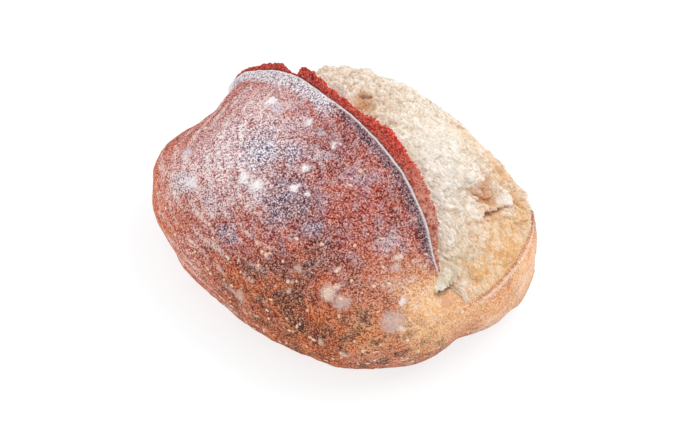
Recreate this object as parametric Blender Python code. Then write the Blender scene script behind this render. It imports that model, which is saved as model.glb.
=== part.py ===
"""A hearth loaf of wheat bread, scored once along its length.

One solid rests on its flat underside. Its middle is above the origin, its long side
lies along X, and the side that opened in the oven faces +Y. Sizes are in metres.
"""
import math

import bmesh
import bpy
import numpy as np
from mathutils import Vector, noise

MM = 0.001

# Body
MEAN_RADIUS = 106.0 * MM
OVAL = 0.107
EGG = 0.016
EGG_TURN = math.radians(-25.0)
SQUARE = 0.040
SQUARE_TURN = math.radians(15.5)
HEIGHT = 101.0 * MM
BELLY = 34.5 * MM
CROWN_POWER = 1.9
FOOT_POWER = 3.0
FOOT_DEPTH = 1.3
CROWN_LEAN = 2.4
SIDE_SHIFT = 1.5 * MM
GROUND_GAP = 1e-7
FLAT_SNAP = 0.02 * MM

# Score: the line about which the cut and the opening are laid out
MIDDLE = Vector((0.0, -6.0 * MM, 50.0 * MM))
SCORE_TURN = math.radians(-22.0)
CREST_ANGLE = 105.5
CREST_SLOPE = -0.09
CREST_BOW = 0.0004
LIP_ANGLE = 175.5

# Heights of the cut's parts over the plain form
EAR_HEIGHT = 7.5 * MM
FRINGE_RISE = 0.35
TORN_START = 0.53
TORN_END = 0.585
TOOTH_LENGTH = 3.0
TOOTH_STEP = 4.0
OPENING_DEPTH = 7.5 * MM
LIP_HEIGHT = 0.7 * MM

# Mesh
SEGMENTS = 260
RINGS = 170
TRIANGLES = 11400

# Broad swellings and hollows of the body: centre, width and share of the radius
SWELLS = (
    ((112.0, -8.0, 20.0), 30.0, 0.004),
    ((101.0, -43.0, 18.0), 19.0, -0.045),
    ((-50.0, -80.0, 15.0), 34.0, -0.022),
    ((58.0, -84.0, 25.0), 30.0, 0.022),
    ((-92.0, 36.0, 74.0), 18.0, 0.040),
)

# Blisters of the crust and hollows of the opening: centre, radius and height
SPOTS = (
    ((33.6, -76.2, 63.9), 6.5, 2.0),
    ((35.2, -70.2, 68.2), 3.2, 1.2),
    ((10.5, -70.1, 70.9), 4.5, 1.2),
    ((-21.4, -65.6, 70.5), 3.0, 1.0),
    ((-3.8, -94.3, 30.0), 3.0, 1.0),
    ((46.9, -91.6, 33.7), 3.5, 1.0),
    ((-7.0, 38.0, 95.0), 7.0, -3.2),
    ((11.0, 40.0, 93.0), 3.5, -2.4),
    ((62.0, 44.0, 77.0), 3.0, -2.2),
    ((75.0, 15.0, 80.0), 11.0, -2.2),
    ((92.0, 30.0, 69.0), 6.0, 1.8),
    ((50.0, 1.0, 89.0), 3.0, -2.0),
)

# Cracks: both ends, half width and depth
CRACKS = (
    ((92.0, 14.0, 71.0), (98.0, 33.0, 65.0), 1.8, 2.4),
    ((98.0, 33.0, 65.0), (103.0, 44.0, 58.0), 1.8, 2.2),
    ((88.0, -3.0, 71.0), (94.0, 7.0, 69.0), 1.4, 2.0),
    ((-12.0, 44.0, 95.0), (2.0, 48.0, 93.0), 1.8, 2.6),
    ((84.0, -47.0, 60.0), (90.0, -37.0, 62.0), 1.8, 1.6),
    ((90.0, -37.0, 62.0), (93.0, -24.0, 64.0), 1.6, 1.6),
    ((93.0, -24.0, 64.0), (98.0, -6.0, 64.0), 1.4, 1.2),
)


def smooth(low, high, value):
    """Eased step from 0 at low to 1 at high."""
    share = np.clip((value - low) / (high - low), 0.0, 1.0)
    return share * share * (3.0 - 2.0 * share)


def plan_radius(turn):
    """Radius of the widest level over the angle in plan."""
    return MEAN_RADIUS * (1.0 + OVAL * np.cos(2.0 * turn) + EGG * np.cos(3.0 * (turn - EGG_TURN))
                          + SQUARE * np.cos(4.0 * (turn - SQUARE_TURN)))


def body_share(point):
    """How far out a point lies in the plain form: under 1 inside, 1 on the surface."""
    x, y, z = point[:, 0], point[:, 1], point[:, 2]
    out = np.hypot(x, y) / plan_radius(np.arctan2(y, x))
    crown = (HEIGHT - BELLY) * np.clip(1.0 + CROWN_LEAN * y, 0.3, 2.0)
    above = np.maximum((z - BELLY) / crown, 0.0)
    below = np.maximum((BELLY - z) / (BELLY * FOOT_DEPTH), 0.0)
    upper = (out ** CROWN_POWER + above ** CROWN_POWER) ** (1.0 / CROWN_POWER)
    lower = (out ** FOOT_POWER + below ** FOOT_POWER) ** (1.0 / FOOT_POWER)
    swell = np.ones(len(point))
    for centre, width, share in SWELLS:
        gap = ((point / MM - np.array(centre)) ** 2).sum(axis=1)
        swell += share * np.exp(-gap / width ** 2)
    return np.where(z > BELLY, upper, lower) / swell


def surface_reach(ray):
    """Distance from the middle to the plain form along each ray, cut off at the ground."""
    near = np.zeros(len(ray))
    down = np.minimum(ray[:, 2], -1e-9)
    far = np.where(ray[:, 2] < -1e-6, -MIDDLE.z / down, 2.0 * MEAN_RADIUS)
    far = np.minimum(far, 2.0 * MEAN_RADIUS)
    middle = np.array(MIDDLE)
    for _ in range(30):
        half = 0.5 * (near + far)
        inside = body_share(middle + ray * half[:, None]) < 1.0
        near = np.where(inside, half, near)
        far = np.where(inside, far, half)
    return far


def crest_angle(station):
    """Angle of the crest round the score's line, in degrees, over the station in degrees."""
    front = np.maximum(station - 45.0, 0.0) / 40.0
    back = np.maximum(-30.0 - station, 0.0) / 40.0
    return (CREST_ANGLE + CREST_SLOPE * station + CREST_BOW * station ** 2
            - 18.0 * front ** 2 + 10.0 * back ** 2)


def lip_angle(station):
    """Angle of the lower lip round the score's line, in degrees."""
    return LIP_ANGLE + 2.0 * np.cos(np.radians(3.0 * station))


# Profile round the score's line: share of the way round, the line it keeps to (0 crest,
# 1 lip), degrees past that line, ear, opening and lip heights that apply there
PROFILE = (
    (0.000, 1, -360.0, 0.0, 0.0, 1.0),
    (0.010, 1, -358.4, 0.0, 0.0, 0.5),
    (0.030, 1, -350.0, 0.0, 0.0, 0.0),
    (0.120, 1, -200.0, 0.0, 0.0, 0.0),
    (0.380, 0, -40.0, 0.0, 0.0, 0.0),
    (0.430, 0, -20.0, 0.1, 0.0, 0.0),
    (0.465, 0, -9.0, 0.42, 0.0, 0.0),
    (0.485, 0, -4.0, 0.76, 0.0, 0.0),
    (0.498, 0, -1.2, 0.97, 0.0, 0.0),
    (0.505, 0, 0.0, 1.0, 0.0, 0.0),
    (0.515, 0, 1.2, 0.78, 0.0, 0.0),
    (0.530, 0, 4.0, 0.90, 0.0, 0.0),
    (0.560, 0, 10.0, 0.98, 0.0, 0.0),
    (0.567, 0, 10.9, 0.60, 0.0, 0.0),
    (0.585, 0, 8.8, 0.0, 0.5, 0.0),
    (0.600, 0, 11.2, 0.0, 1.0, 0.0),
    (0.640, 0, 17.5, 0.0, 1.0, 0.0),
    (0.900, 1, -18.0, 0.0, 1.0, 0.0),
    (0.960, 1, -5.0, 0.0, 0.30, 0.0),
    (0.987, 1, -0.9, 0.0, 0.0, -1.4),
    (0.994, 1, -0.3, 0.0, 0.0, 0.4),
    (1.000, 1, 0.0, 0.0, 0.0, 1.0),
)


def profile_at(share, station):
    """Angle round the score's line and the ear, opening and lip weights at each vertex."""
    rows = np.array(PROFILE)
    step = np.clip(np.searchsorted(rows[:, 0], share, side="right") - 1, 0, len(rows) - 2)
    part = (share - rows[step, 0]) / (rows[step + 1, 0] - rows[step, 0])
    crest, lip = crest_angle(station), lip_angle(station)
    first = np.where(rows[step, 1] == 1, lip, crest) + rows[step, 2]
    last = np.where(rows[step + 1, 1] == 1, lip, crest) + rows[step + 1, 2]
    weights = rows[step, 3:] * (1.0 - part)[:, None] + rows[step + 1, 3:] * part[:, None]
    angle = first * (1.0 - part) + last * part
    torn = weights[:, 0] * (share > TORN_START) * (share < TORN_END)
    tooth = np.array([noise.fractal(Vector((value / TOOTH_STEP, 0.0, 0.0)), 1.0, 2.0, 3)
                      for value in station])
    return angle + TOOTH_LENGTH * torn * tooth, weights


def score_frame():
    """Unit directions along the score, to its open side and up."""
    along = np.array((math.cos(SCORE_TURN), math.sin(SCORE_TURN), 0.0))
    open_side = np.array((-math.sin(SCORE_TURN), math.cos(SCORE_TURN), 0.0))
    return along, open_side, np.array((0.0, 0.0, 1.0))


def noise_at(point, stretch, octaves):
    """Smooth noise at each point, drawn out along the score by the stretch."""
    along, open_side, up = score_frame()
    local = np.stack([point @ along / stretch, point @ open_side, point @ up], axis=1)
    return np.array([noise.fractal(Vector(row), 1.0, 2.0, octaves) for row in local])


def spot_lift(point):
    """Height that the blisters and hollows add at each point."""
    lift = np.zeros(len(point))
    for centre, radius, height in SPOTS:
        gap = np.linalg.norm(point / MM - np.array(centre), axis=1)
        lift += height * MM * np.exp(-(gap / radius) ** 4)
    return lift


def crack_depth(point):
    """Depth of the cracks at each point."""
    depth = np.zeros(len(point))
    for start, end, half_width, deep in CRACKS:
        start, run = np.array(start), np.array(end) - np.array(start)
        part = np.clip((point / MM - start) @ run / (run @ run), 0.0, 1.0)
        gap = np.linalg.norm(point / MM - start - part[:, None] * run, axis=1)
        depth = np.maximum(depth, deep * MM * np.exp(-(gap / half_width) ** 2))
    return depth


def loaf_points(share, station):
    """Surface point of the loaf for the share of the way round and the station in degrees."""
    angle, weights = profile_at(share, station)
    along, open_side, up = score_frame()
    turn, tilt = np.radians(angle), np.radians(station)
    ray = (np.sin(tilt)[:, None] * along - (np.cos(tilt) * np.cos(turn))[:, None] * open_side
           + (np.cos(tilt) * np.sin(turn))[:, None] * up)
    reach = surface_reach(ray)
    middle = np.array(MIDDLE)
    plain = middle + ray * reach[:, None]
    ends = smooth(88.0, 66.0, station) * smooth(-90.0, -80.0, station)
    crust = (1.0 - np.clip(weights[:, 1], 0.0, 1.0)) * smooth(0.0, 20.0 * MM, plain[:, 2])
    fringe = 1.0 + FRINGE_RISE * smooth(-35.0, -60.0, station) * smooth(0.515, 0.555, share)
    lift = EAR_HEIGHT * ends * fringe * weights[:, 0] - OPENING_DEPTH * ends * weights[:, 1]
    lift += LIP_HEIGHT * smooth(90.0, 78.0, station) * smooth(-90.0, -78.0, station) * weights[:, 2]
    lift += 0.6 * MM * crust * noise_at(plain / (22.0 * MM), 1.0, 3)
    lift += 1.5 * MM * ends * weights[:, 1] * noise_at(plain / (9.0 * MM), 2.5, 4)
    lift += spot_lift(plain) - crack_depth(plain)
    point = middle + ray * (reach + lift)[:, None]
    point[plain[:, 2] < GROUND_GAP, 2] = 0.0
    point[:, 2] = np.maximum(point[:, 2], 0.0)
    point[:, 1] -= SIDE_SHIFT
    return point


def build_loaf(collection):
    """Loaf: a ball drawn out along the score, each vertex moved to the loaf's surface."""
    mesh = bpy.data.meshes.new("loaf")
    ball = bmesh.new()
    bmesh.ops.create_uvsphere(ball, u_segments=SEGMENTS, v_segments=RINGS, radius=1.0)
    place = np.array([vertex.co for vertex in ball.verts])
    station = -np.degrees(np.arcsin(np.clip(place[:, 2], -1.0, 1.0)))
    share = (np.arctan2(place[:, 1], place[:, 0]) / (2.0 * math.pi)) % 1.0
    for vertex, point in zip(ball.verts, loaf_points(share, station)):
        vertex.co = point
    ball.to_mesh(mesh)
    ball.free()
    loaf = bpy.data.objects.new("loaf", mesh)
    collection.objects.link(loaf)
    thin = loaf.modifiers.new("fewer_faces", "DECIMATE")
    thin.ratio = TRIANGLES / (2.0 * SEGMENTS * (RINGS - 1))
    depsgraph = bpy.context.evaluated_depsgraph_get()
    loaf.data = bpy.data.meshes.new_from_object(loaf.evaluated_get(depsgraph))
    loaf.modifiers.remove(thin)
    for vertex in loaf.data.vertices:
        if vertex.co.z < FLAT_SNAP:
            vertex.co.z = 0.0
    loaf.data.polygons.foreach_set("use_smooth", [True] * len(loaf.data.polygons))
    return loaf


def crust_material():
    """Baked crust: dull, browned and dusted."""
    material = bpy.data.materials.new("baked_crust")
    material.use_nodes = True
    shader = material.node_tree.nodes["Principled BSDF"]
    shader.inputs["Base Color"].default_value = (0.36, 0.16, 0.08, 1.0)
    shader.inputs["Roughness"].default_value = 0.85
    return material


def main():
    """Builds the loaf in a collection of its own."""
    for old in list(bpy.data.objects):
        bpy.data.objects.remove(old)
    collection = bpy.data.collections.new("wheat_bread")
    bpy.context.scene.collection.children.link(collection)
    loaf = build_loaf(collection)
    loaf.data.materials.append(crust_material())


main()
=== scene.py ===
"""A floured, scored hearth loaf of wheat bread on a pale floor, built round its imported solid."""

import math

import bpy
import numpy as np
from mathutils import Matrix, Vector, noise


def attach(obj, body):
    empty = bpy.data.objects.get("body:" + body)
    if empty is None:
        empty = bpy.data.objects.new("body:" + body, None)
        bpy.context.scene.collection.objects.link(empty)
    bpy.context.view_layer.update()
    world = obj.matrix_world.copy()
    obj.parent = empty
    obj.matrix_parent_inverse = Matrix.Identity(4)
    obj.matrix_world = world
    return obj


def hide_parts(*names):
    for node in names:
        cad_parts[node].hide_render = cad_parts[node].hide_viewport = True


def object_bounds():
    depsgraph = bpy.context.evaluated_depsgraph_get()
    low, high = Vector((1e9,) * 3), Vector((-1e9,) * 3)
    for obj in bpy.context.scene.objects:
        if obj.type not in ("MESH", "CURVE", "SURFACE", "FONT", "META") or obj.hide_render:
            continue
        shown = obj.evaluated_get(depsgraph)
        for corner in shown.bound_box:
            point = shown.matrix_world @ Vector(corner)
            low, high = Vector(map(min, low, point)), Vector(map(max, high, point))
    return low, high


bl_info = {
    "name": "Wheat bread",
    "version": (1, 0, 0),
    "blender": (4, 5, 0),
    "location": "View3D > Sidebar > Bread",
    "description": "Builds a scored hearth loaf with floured crust, open crumb and torn ear",
    "category": "Add Mesh",
}

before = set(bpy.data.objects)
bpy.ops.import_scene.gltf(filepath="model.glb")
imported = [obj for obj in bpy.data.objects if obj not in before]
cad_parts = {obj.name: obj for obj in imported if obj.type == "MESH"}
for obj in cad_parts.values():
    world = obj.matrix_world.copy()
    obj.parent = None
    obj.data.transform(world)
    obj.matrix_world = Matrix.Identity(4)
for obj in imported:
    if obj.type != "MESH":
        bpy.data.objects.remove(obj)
CAD_BOX = [list(corner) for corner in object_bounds()]
NODE = "loaf"
BODY = "root"

MM = 0.001

# Body of the loaf, as the solid has it
MEAN_RADIUS = 106.0 * MM
OVAL = 0.107
EGG = 0.016
EGG_TURN = math.radians(-25.0)
SQUARE = 0.040
SQUARE_TURN = math.radians(15.5)
HEIGHT = 101.0 * MM
BELLY = 34.5 * MM  # level of the widest outline
CROWN_POWER = 1.9
FOOT_POWER = 3.0
FOOT_DEPTH = 1.3
CROWN_LEAN = 2.4
SIDE_SHIFT = 1.5 * MM
GROUND_GAP = 1e-7
SIDE_LIMIT = 118.6 * MM
SIDE_PULL = 0.65  # share taken back of what lies past the limit
HALVINGS = 24  # steps of the search for the surface

# Rays from the middle reach the surface: turned about the score's line by an angle, and leaned
# along it by a station, both in degrees
MIDDLE = Vector((0.0, -6.0 * MM, 50.0 * MM))
SCORE_TURN = math.radians(-22.0)
CREST_ANGLE = 106.8
CREST_BACK = 9.8
CREST_FRONT = -10.0

# Heights and depths from the plain form, and where the torn edge lies on the profile
EAR_HEIGHT = 7.5 * MM
OPENING_DEPTH = 7.5 * MM
LIP_HEIGHT = 0.7 * MM
LOBE_HEIGHT = 0.9 * MM
CRUST_SINK = 0.42 * MM
TORN_START = 0.53
TORN_END = 0.585
CRUMB_EDGE = 0.81  # share of the torn edge's width at which the crumb starts

# Width of the torn edge and its extra rise, by station in degrees
TORN_WIDTH = ((-90, 0), (-82, 1), (-76, 3.5), (-70, 6.5), (-60, 6.5), (-55, 2.6), (-50, 2.6),
              (-46, 5.2), (-8, 5.4), (4, 8.2), (12, 11), (25, 9.6), (58, 9.8), (68, 6.8),
              (74, 3.5), (77.5, 0.5), (90, 0.3))
FRINGE = ((-84, 0), (-76, 0.35), (-70, 0.5), (-60, 0.45), (-56, 0), (-51, 0), (-47, 0.75),
          (-42, 0.65), (-33, 0.25), (-22, 0))
# Angle of the lower lip by station: it drops out of sight round the back
LIP_LINE = ((-90, 176), (-40, 178), (0, 185), (38, 187), (43, 182.5), (47, 179.2), (51, 178.3),
            (56, 177), (61, 175.8), (69, 175), (74, 175.6), (79, 176.2), (83, 174.8), (90, 174))
# Crumb's near edge past the torn edge, by station: it turns in under the crest at the front end
CRUMB_TURN = ((72, 0), (76.4, -2), (78.7, -6), (80.1, -19), (81, -28), (82.6, -33), (83.2, -28),
              (84.2, 20), (85.5, 50), (86.8, 75), (88.5, 80))

# Broad swellings and hollows of the body: centre in millimetres, width and share of the radius
SWELLS = (
    ((112, -8, 20), 30, 0.004),
    ((101, -43, 18), 19, -0.045),
    ((-50, -80, 15), 34, -0.022),
    ((58, -84, 25), 30, 0.022),
    ((-92, 36, 74), 18, 0.04),
)
# Blisters of the crust and hollows of the opening: centre, radius and height in millimetres
SPOTS = (
    ((33.6, -76.2, 63.9), 6.5, 2),
    ((35.2, -70.2, 68.2), 3.2, 1.2),
    ((10.5, -70.1, 70.9), 4.5, 1.2),
    ((-21.4, -65.6, 70.5), 3, 1),
    ((-3.8, -94.3, 30), 3, 1),
    ((46.9, -91.6, 33.7), 3.5, 1),
    ((-7, 38, 95), 7, -3.2),
    ((11, 40, 93), 3.5, -2.4),
    ((62, 44, 77), 3, -2.2),
    ((81, 22, 75), 9, -2.6),
    ((91, 27, 71), 6.5, 2.4),
    ((50, 1, 89), 3, -2),
    ((-96, 0, 71), 22, -3.6),
    ((-111, 17, 52), 17, -3.6),
    ((-115, -22, 49), 14, 2.8),
    ((-93, -65, 22), 16, -2.2),
    ((-36, -85, 17), 30, 1.7),
    ((18, -94, 12), 18, -1.6),
    ((38, 82, 56), 22, 1.4),
    ((-14, 91, 65), 12, -3),
    ((-47, 79, 69), 11, 2),
    ((-91, 42, 64), 10, 2),
    ((114, 12, 10), 17, 3.8),
    ((108, -30, 20), 14, 1.2),
    ((86, -60, 18), 20, 2.2),
)
# Cracks of the crumb: both ends, half width and depth in millimetres
CRACKS = (
    ((82, -4, 74), (91, 8, 70), 1.1, 1.1),
    ((88, 10, 72), (93, 17, 70), 1.4, 3),
    ((93, 17, 70), (94.5, 23, 69), 1.3, 3.2),
    ((94.5, 23, 69), (98, 31, 64.5), 1.2, 3),
    ((98, 31, 64.5), (102, 36, 60.5), 1.1, 2.6),
    ((-12, 44, 95), (2, 48, 93), 1.8, 2.6),
    ((84, -47, 60), (90, -37, 62), 1.8, 2.2),
    ((90, -37, 62), (92, -24, 65), 1.6, 2.2),
    ((93, -24, 64), (98, -6, 64), 1.4, 1.2),
)

# Profile round the score's line: share of the way round, line kept to (0 crest, 1 lip), degrees
# past it, widths of the torn edge past it, then the ear, opening and lip weights
PROFILE = np.array((
    (0, 1, -360, 0, 0, 0, 1),
    (0.01, 1, -358.4, 0, 0, 0, 0.5),
    (0.03, 1, -350, 0, 0, 0, 0),
    (0.12, 1, -200, 0, 0, 0, 0),
    (0.38, 0, -40, 0, 0, 0, 0),
    (0.43, 0, -20, 0, 0.1, 0, 0),
    (0.465, 0, -9, 0, 0.42, 0, 0),
    (0.485, 0, -4, 0, 0.76, 0, 0),
    (0.498, 0, -1.2, 0, 0.97, 0, 0),
    (0.505, 0, 0, 0, 1, 0, 0),
    (0.515, 0, 0, 0.11, 0.8, 0, 0),
    (0.53, 0, 0, 0.37, 0.88, 0, 0),
    (0.56, 0, 0, 0.92, 0.98, 0, 0),
    (0.567, 0, 0, 1, 0.6, 0, 0),
    (0.585, 0, 0, CRUMB_EDGE, 0, 0.5, 0),
    (0.6, 0, 0.3, 1, 0, 1, 0),
    (0.64, 0, 6.6, 1, 0, 1, 0),
    (0.9, 1, -18, 0, 0, 1, 0),
    (0.96, 1, -5, 0, 0, 0.3, 0),
    (0.987, 1, -0.7, 0, 0, 0, -1.5),
    (0.994, 1, -0.2, 0, 0, 0, 0.2),
    (1, 1, 0, 0, 0, 0, 1),
))

# Where the dressed pieces start and end
TORN_FROM, TORN_TO = 0.509, 0.597
TORN_STATIONS = (-84, 77.5)
CRUMB_STATIONS = (-88, 88.5)
CRUMB_INSET = 0.35
UNDER_CRUMB = 8 * MM
UNDER_TORN = 0.9 * MM
TUCK = 4 * MM

# Colours laid on the crust in turn: centre in millimetres, radius, colour and strength
CRUST_PATCHES = (
    ((-108, -46, 36), 28, "crust_ruddy", 0.95),
    ((-84, -80, 30), 26, "crust_ruddy", 0.85),
    ((-45, -92, 30), 26, "crust_orange", 0.6),
    ((-98, -30, 60), 18, "crust_ruddy", 0.6),
    ((-5, -98, 28), 26, "crust_orange", 0.7),
    ((35, -96, 28), 26, "crust_orange", 0.9),
    ((-60, -20, 85), 38, "crust_floured", 0.85),
    ((-86, -38, 64), 22, "crust_floured", 0.6),
    ((-62, 14, 88), 26, "crust_floured", 0.55),
    ((-44, -46, 81), 11, "crust_floured", 0.3),
    ((-34, 5, 99), 11, "crust_red", 0.6),
    ((-6, -10, 99), 18, "crust_mauve", 0.7),
    ((-28, -30, 90), 14, "crust_mauve", 0.6),
    ((-12, -48, 84), 17, "crust_mauve", 0.8),
    ((18, -55, 80), 13, "crust_mauve", 0.5),
    ((-45, -70, 62), 14, "crust_mauve", 0.4),
    ((48, -20, 94), 13, "crust_deep", 0.7),
    ((0, -40, 90), 14, "crust_deep", 0.4),
    ((50, -44, 80), 16, "crust_deep", 0.4),
    ((-8, -82, 60), 18, "crust_deep", 0.75),
    ((-28, -87, 42), 18, "crust_deep", 0.6),
    ((12, -80, 62), 17, "crust_brown", 0.9),
    ((16, -62, 78), 13, "crust_brown", 0.6),
    ((40, -68, 70), 15, "crust_brown", 0.45),
    ((30, -92, 44), 16, "crust_brown", 0.7),
    ((-30, -88, 44), 14, "crust_brown", 0.5),
    ((66, -84, 38), 20, "crust_orange", 0.9),
    ((58, -52, 74), 18, "crust_amber", 0.7),
    ((52, -74, 58), 20, "crust_amber", 0.7),
    ((72, -82, 42), 18, "crust_amber", 0.6),
    ((74, -58, 64), 15, "crust_tan", 0.75),
    ((33, -77, 65), 10.5, "crust_vein", 0.4),
    ((58, -84, 48), 14, "crust_tan", 0.55),
    ((52, -77, 61), 11, "crust_tan", 0.3),
    ((10, -27, 95), 11, "crust_vein", 0.4),
    ((-62, -74, 44), 18, "crust_floured", 0.35),
    ((62, -92, 26), 11, "flour_veil", 0.5),
    ((82, -80, 22), 12, "flour_veil", 0.5),
    ((68, -71.5, 53.5), 11.5, "crust_vein", 0.5),
    ((86, -50, 56), 20, "crust_tan", 0.9),
    ((90, -60, 44), 22, "crust_tan", 0.9),
    ((112, -28, 38), 26, "crust_tan", 0.9),
    ((118, 6, 40), 34, "crust_tan", 0.9),
    ((114, -20, 41), 12, "crust_vein", 0.4),
    ((104, -42, 30), 14, "crust_vein", 0.35),
    ((118, 10, 44), 8, "crust_vein", 0.35),
    ((119, 0, 34), 9, "flour_veil", 0.55),
    ((119, 20, 36), 10, "flour_veil", 0.45),
    ((112, -26, 20), 10, "flour_veil", 0.5),
    ((92, 62, 34), 32, "crust_amber", 0.8),
    ((40, 92, 38), 34, "crust_ruddy", 0.7),
    ((-10, 96, 24), 26, "crust_orange", 0.6),
    ((-60, 78, 42), 40, "crust_floured", 0.35),
    ((-104, 38, 36), 30, "crust_ruddy", 0.6),
)
# Thin bluish flour and dark dents, laid on after the streaks and mottles
BLUE_PATCHES = (
    ((-16, -44, 86), 13, "flour_dusk", 0.8),
    ((-34, -44, 84), 6, "flour_pale", 0.6),
    ((8, -52, 83), 7, "flour_blue", 0.9),
    ((-45, -19, 92), 12, "flour_blue", 0.85),
    ((-25, -17, 97), 8, "flour_blue", 0.8),
    ((-10, -13, 98), 5, "flour_pale", 0.7),
    ((-32, 2, 99), 8, "flour_pale", 0.5),
    ((-42, -68, 66), 6.5, "flour_blue", 0.8),
    ((-60, -54, 71), 8, "flour_pale", 0.6),
    ((-82, -44, 66), 8, "flour_pale", 0.6),
    ((48, -38, 83), 7.5, "flour_pale", 0.5),
    ((22, -14, 99), 7, "flour_pale", 0.4),
    ((2, -36, 90), 6, "flour_blue", 0.5),
    ((18, -18, 97), 8, "flour_blue", 0.4),
    ((-18, -93, 36), 5, "flour_grey", 0.7),
    ((30, -86, 52), 7, "crust_slate", 0.8),
    ((20, -92, 42), 8, "crust_slate", 0.8),
    ((10, -70, 73), 8, "crust_slate", 0.8),
    ((-6, -80, 62), 7, "crust_slate", 0.6),
    ((2, -86, 53), 6, "crust_slate", 0.6),
)
# Caked flour and blisters: centre, radius, colour, strength and height in millimetres
FLECKS = (
    ((29.5, -77, 66.5), 5.4, "flour_cream", 0.85, 0.5),
    ((38.5, -78, 63.5), 5.6, "flour_grey", 0.85, 0.3),
    ((68, -71.5, 53.5), 7.4, "flour_grey", 0.8, 0.4),
    ((73, -71, 50.5), 2.4, "flour_cream", 1, 0.4),
    ((90, -46, 57), 4, "crust_amber", 0.5, 0.8),
    ((-57, 15, 93), 4, "flour_white", 1, 0.5),
    ((-46, -38, 84), 4, "flour_white", 0.95, 0.3),
    ((-36, -41, 85), 4, "flour_white", 0.95, 0.3),
    ((-14, -35.5, 90), 3.2, "flour_white", 1, 0.4),
    ((-5, -36, 90), 1.8, "flour_white", 1, 0.3),
    ((-14, -23, 95), 3, "flour_white", 1, 0.4),
    ((-3, -5, 102), 3.2, "flour_white", 1, 0.4),
    ((-25, 4, 101), 3, "flour_white", 0.95, 0.4),
    ((-15, -1, 102), 3.2, "flour_pale", 0.8, 0.3),
    ((-37, 19, 101), 4, "flour_pale", 0.7, 0.2),
    ((-50, 11, 95), 4, "flour_pale", 0.7, 0.2),
    ((-79, -46, 70), 4, "flour_white", 0.8, 0.3),
    ((-94, -27, 69), 4, "flour_pale", 0.7, 0.2),
    ((-70, -27, 82), 2.6, "flour_white", 0.8, 0.3),
    ((-22, -68, 71), 2.4, "flour_cream", 0.9, 0.4),
    ((8, -73, 71), 3.6, "flour_grey", 0.8, 0.4),
    ((34, -72, 69), 2.2, "flour_cream", 0.9, 0.4),
    ((30, -65, 74), 2, "flour_cream", 0.8, 0.3),
    ((6, -84, 60), 2.6, "flour_cream", 0.6, 0.4),
    ((-23, -89, 43), 3.8, "flour_grey", 0.75, 0.3),
    ((-3, -97, 30), 2.8, "flour_cream", 0.9, 0.4),
    ((33, -95, 41), 2.2, "flour_cream", 0.8, 0.3),
    ((48, -94, 34), 2.8, "flour_cream", 0.8, 0.3),
    ((58, -44, 77), 2.4, "flour_cream", 0.9, 0.3),
    ((66.5, -41.5, 76), 1.8, "flour_cream", 0.8, 0.3),
    ((69, -61, 62), 2.2, "flour_white", 0.9, 0.3),
    ((76, -59, 59), 1.8, "flour_cream", 0.9, 0.3),
    ((60, -50, 73), 2.4, "flour_grey", 0.6, 0.2),
    ((84, -62, 50), 2.4, "flour_cream", 0.6, 0.3),
    ((-52, -84, 44), 2.6, "flour_cream", 0.6, 0.3),
)
# Fine raised wrinkles of the crust: both ends in millimetres
WRINKLE_WIDTH = 0.8
WRINKLES = (
    ((6, -81, 63.5), (12, -74, 69.5)),
    ((12, -74, 69.5), (18.5, -66, 74.5)),
    ((55, -60.5, 69), (57.5, -54, 72.5)),
    ((57.5, -54, 72.5), (58.5, -47, 75)),
)
# Colours laid on the crumb in turn, as on the crust; the grey and greenish-grey patches are painted shade,
# and the toast patches over hollows are toasted colour and painted shade together
CRUMB_PATCHES = (
    ((-40, 45, 95), 34, "crumb_rosy", 0.8),
    ((52, 22, 88), 30, "crumb_pale_and_highlight", 0.9),
    ((62, -2, 85), 16, "crumb_pale_and_highlight", 0.95),
    ((72, -14, 80), 13, "crumb_pale_and_highlight", 0.8),
    ((34, 16, 95), 10, "crumb_shadow_grey", 0.3),
    ((52, 66, 66), 16, "crumb_gold", 0.35),
    ((81, 53, 63), 18, "crumb_gold", 0.75),
    ((108, 6, 58), 25, "crumb_gold", 1),
    ((104, -19, 55), 18, "crumb_gold", 0.9),
    ((100, 34, 61), 14, "crumb_gold", 0.8),
    ((74, 8, 79), 10, "crumb_pale_and_highlight", 0.8),
    ((83, 20, 75), 7, "crumb_toast_and_shade", 0.9),
    ((79, 30, 76), 6, "crumb_toast_and_shade", 0.35),
    ((92, 27, 71), 6, "crumb_pale_and_highlight", 0.95),
    ((98, 20, 66), 3.5, "crumb_pale_and_highlight", 0.7),
    ((-6, 37, 94), 7, "crumb_toast_and_shade", 0.75),
    ((8, 44, 92), 5, "crumb_toast_and_shade", 0.5),
    ((84, -49, 60), 5, "crumb_shadow_grey", 0.7),
    # Painted shade: greenish-grey shade where the ear ends
    ((88, -38, 64), 6, "crumb_shadow_green", 0.6),
    ((88, -28, 66), 5, "crumb_shadow_green", 0.5),
    ((90, -17, 67), 7, "crumb_shadow_grey", 0.6),
    ((96, -40, 52), 8, "crumb_gold", 0.5),
)
# Smooth, less baked end of the crust: centre, radius and strength
CALM = (
    ((86, -50, 56), 25, 1),
    ((100, -40, 44), 26, 1),
    ((112, -24, 38), 26, 1),
    ((118, 8, 40), 34, 1),
)
# Lower middle of the shown side, where dark dents lie between orange ridges
DENTED = (((14, -86, 50), 44, 1),)
RIDGE_TURN = math.radians(60)

# Layers of the crumb's folds: size in millimetres, stretch, shift of the noise, height in
# millimetres and middle of the folds, then strength, start and end of the creases between them
CRUMB_FOLDS = (
    (10, 2.4, 4, 5.2, 0.28, 0.9, 0.1, 0.01),
    (3.8, 4.5, 17, 4.6, 0.25, 0.8, 0.12, 0.02),
    (1.7, 6.5, 29, 2, 0.25, 0.6, 0.16, 0.03),
)
LEVEL_TURN = math.radians(10)
PIT_DEPTH = 0.8

# Flour: how uneven the edges of caked flecks are, seeds, and the least and most of a grain's
# length, width and thickness in radii
FLECK_EDGE = (3.5, 1.7)
FLOUR_SEED = 7
FLECK_SEED = 11
GRAIN_LEAST = (0.5, 0.5, 0.25)
GRAIN_MOST = (1.6, 1.2, 0.45)

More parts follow.
